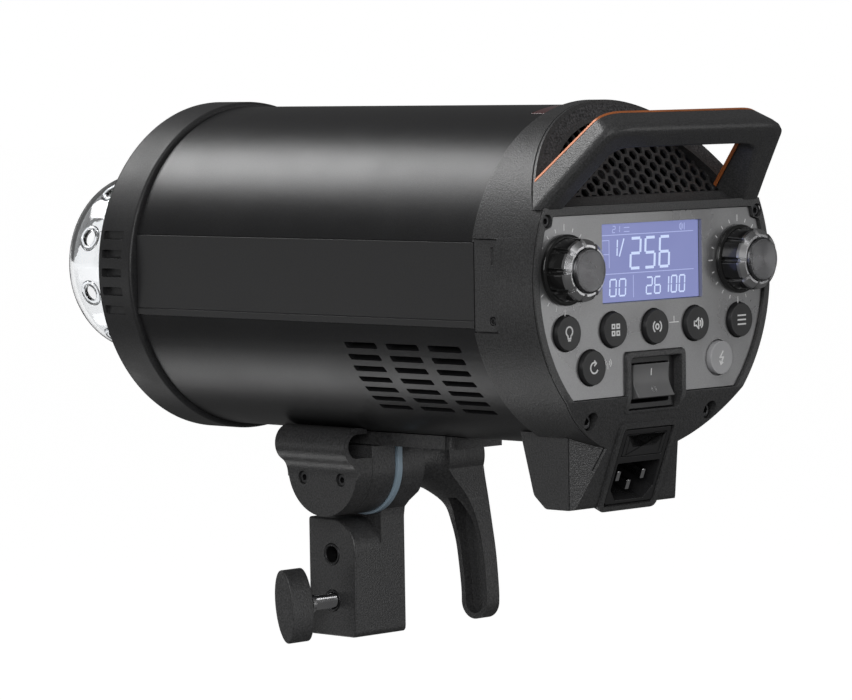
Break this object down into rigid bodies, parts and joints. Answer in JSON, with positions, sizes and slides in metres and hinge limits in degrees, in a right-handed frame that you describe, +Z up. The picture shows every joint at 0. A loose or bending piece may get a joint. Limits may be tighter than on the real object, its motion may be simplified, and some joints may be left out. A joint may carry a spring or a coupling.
{
  "type": "monolight strobe",
  "caption": "Studio flash head: round metal barrel with a glass-domed tube in front, a rear control panel with dials and a carry handle, on a tilting stand bracket.",
  "frame": {"origin": "centre of the mouth of the stand socket, at the underside of the stand bracket", "axes": "+Z up out of the light stand; the flash tube points along -Y and the control panel faces +Y; +X is on the left of someone who faces the control panel, the side with the umbrella clamp"},
  "size_m": [0.134, 0.3296, 0.2148],
  "materials": {
    "cast_black": "satin, fine texture",
    "barrel_metal": "satin, fine texture",
    "trim_plate": "satin",
    "black_plastic": "fine textured",
    "panel_gloss": "gloss",
    "screen": "gloss",
    "bright_steel": "polished",
    "spun_cap": "spun",
    "dark_steel": "blackened",
    "blue_washer": "smooth",
    "copper_stripe": "satin",
    "clear_glass": "clear",
    "ceramic": "glazed",
    "red_window": "gloss",
    "grey_key": "satin",
    "board": "satin",
    "grille_metal": "dark satin",
    "sleeve": "satin"
  },
  "bodies": {
    "stand_bracket": {"stand_fork": "cast_black", "clamp_insert": "dark_steel", "spare_insert": "dark_steel"},
    "stand_screw": {"clamp_screw": "bright_steel"},
    "stand_knob": {"clamp_knob": "black_plastic"},
    "lever": {"tilt_lever": "cast_black"},
    "lamp": {"friction_washer": "blue_washer", "tilt_head": "cast_black", "tilt_bolt": "bright_steel", "umbrella_clamp": "cast_black", "clamp_plate_screw_1": "dark_steel", "clamp_plate_screw_2": "dark_steel", "base_plate": "cast_black", "barrel_housing": "barrel_metal", "side_trim_left": "trim_plate", "side_trim_right": "trim_plate", "front_ring": "black_plastic", "bayonet_ring": "bright_steel", "lamp_socket": "ceramic", "glass_dome": "clear_glass", "flash_tube": "clear_glass", "modelling_lamp": "ceramic", "rear_housing": "black_plastic", "side_cover_left": "black_plastic", "side_cover_right": "black_plastic", "air_grille": "grille_metal", "carry_handle": "black_plastic", "handle_trim": "copper_stripe", "control_panel": "panel_gloss", "lcd_screen": "screen", "control_board": "board", "rocker_bezel": "black_plastic", "inlet_body": "black_plastic", "inlet_pin_live": "bright_steel", "inlet_pin_neutral": "bright_steel", "inlet_pin_earth": "bright_steel", "panel_screw_top_left": "dark_steel", "panel_screw_low_left": "dark_steel", "panel_screw_top_right": "dark_steel", "panel_screw_low_right": "dark_steel", "fan_frame": "black_plastic", "main_board": "board", "capacitor_left": "sleeve", "capacitor_right": "sleeve", "sensor_window": "red_window"},
    "lamp_button_body": {"lamp_button": "black_plastic"},
    "group_button_body": {"group_button": "black_plastic"},
    "slave_button_body": {"slave_button": "black_plastic"},
    "sound_button_body": {"sound_button": "black_plastic"},
    "menu_button_body": {"menu_button": "black_plastic"},
    "mode_button_body": {"mode_button": "black_plastic"},
    "test_button_body": {"test_button": "grey_key"},
    "mount_release_body": {"mount_release": "black_plastic"},
    "power_rocker_body": {"power_rocker": "black_plastic"},
    "fuse_drawer_body": {"fuse_drawer": "black_plastic"},
    "rotor": {"fan_rotor": "black_plastic"},
    "dial_left_body": {"dial_left": "black_plastic", "dial_left_cap": "spun_cap"},
    "dial_right_body": {"dial_right": "black_plastic", "dial_right_cap": "spun_cap"}
  },
  "joints": [
    {"name": "head_tilt", "type": "hinge", "parent": "stand_bracket", "child": "lamp", "pos_m": [0, 0.006, 0.069], "axis": [1, 0, 0], "range_deg": [-75, 60]},
    {"name": "lever_turn", "type": "hinge", "parent": "stand_bracket", "child": "lever", "pos_m": [-0.05, 0.006, 0.069], "axis": [-1, 0, 0], "range_deg": [0, 50]},
    {"name": "stand_screw_travel", "type": "slide", "parent": "stand_bracket", "child": "stand_screw", "axis": [1, 0, 0], "range_m": [0, 0.00375]},
    {"name": "stand_knob_turn", "type": "hinge", "parent": "stand_screw", "child": "stand_knob", "pos_m": [0.03, 0, 0.0143], "axis": [1, 0, 0], "range_deg": [0, 1080]},
    {"name": "dial_left_turn", "type": "hinge", "parent": "lamp", "child": "dial_left_body", "pos_m": [0.0491, 0.17, 0.1523], "axis": [0, 1, 0], "continuous": true},
    {"name": "dial_right_turn", "type": "hinge", "parent": "lamp", "child": "dial_right_body", "pos_m": [-0.0491, 0.17, 0.1523], "axis": [0, 1, 0], "continuous": true},
    {"name": "lamp_button_press", "type": "slide", "parent": "lamp", "child": "lamp_button_body", "axis": [0, -1, 0], "range_m": [0, 0.0008], "stiffness_N_per_m": 300, "springref_m": -0.001},
    {"name": "group_button_press", "type": "slide", "parent": "lamp", "child": "group_button_body", "axis": [0, -1, 0], "range_m": [0, 0.0008], "stiffness_N_per_m": 300, "springref_m": -0.001},
    {"name": "slave_button_press", "type": "slide", "parent": "lamp", "child": "slave_button_body", "axis": [0, -1, 0], "range_m": [0, 0.0008], "stiffness_N_per_m": 300, "springref_m": -0.001},
    {"name": "sound_button_press", "type": "slide", "parent": "lamp", "child": "sound_button_body", "axis": [0, -1, 0], "range_m": [0, 0.0008], "stiffness_N_per_m": 300, "springref_m": -0.001},
    {"name": "menu_button_press", "type": "slide", "parent": "lamp", "child": "menu_button_body", "axis": [0, -1, 0], "range_m": [0, 0.0008], "stiffness_N_per_m": 300, "springref_m": -0.001},
    {"name": "mode_button_press", "type": "slide", "parent": "lamp", "child": "mode_button_body", "axis": [0, -1, 0], "range_m": [0, 0.0008], "stiffness_N_per_m": 300, "springref_m": -0.001},
    {"name": "test_button_press", "type": "slide", "parent": "lamp", "child": "test_button_body", "axis": [0, -1, 0], "range_m": [0, 0.0008], "stiffness_N_per_m": 300, "springref_m": -0.001},
    {"name": "release_slide", "type": "slide", "parent": "lamp", "child": "mount_release_body", "axis": [0, 1, 0], "range_m": [0, 0.003], "stiffness_N_per_m": 200, "springref_m": -0.003},
    {"name": "power_rocker_tip", "type": "hinge", "parent": "lamp", "child": "power_rocker_body", "pos_m": [0, 0.1575, 0.1078], "axis": [-1, 0, 0], "range_deg": [0, 20]},
    {"name": "fuse_drawer_slide", "type": "slide", "parent": "lamp", "child": "fuse_drawer_body", "axis": [0, 0.9317, -0.3633], "range_m": [0, 0.012]},
    {"name": "fan_spin", "type": "hinge", "parent": "lamp", "child": "rotor", "pos_m": [0, 0.11, 0.1475], "axis": [0, 1, 0], "continuous": true}
  ],
  "couplings": [
    {"joint": "stand_knob_turn", "follows": "stand_screw_travel", "rad_per_m": 5026.5}
  ]
}
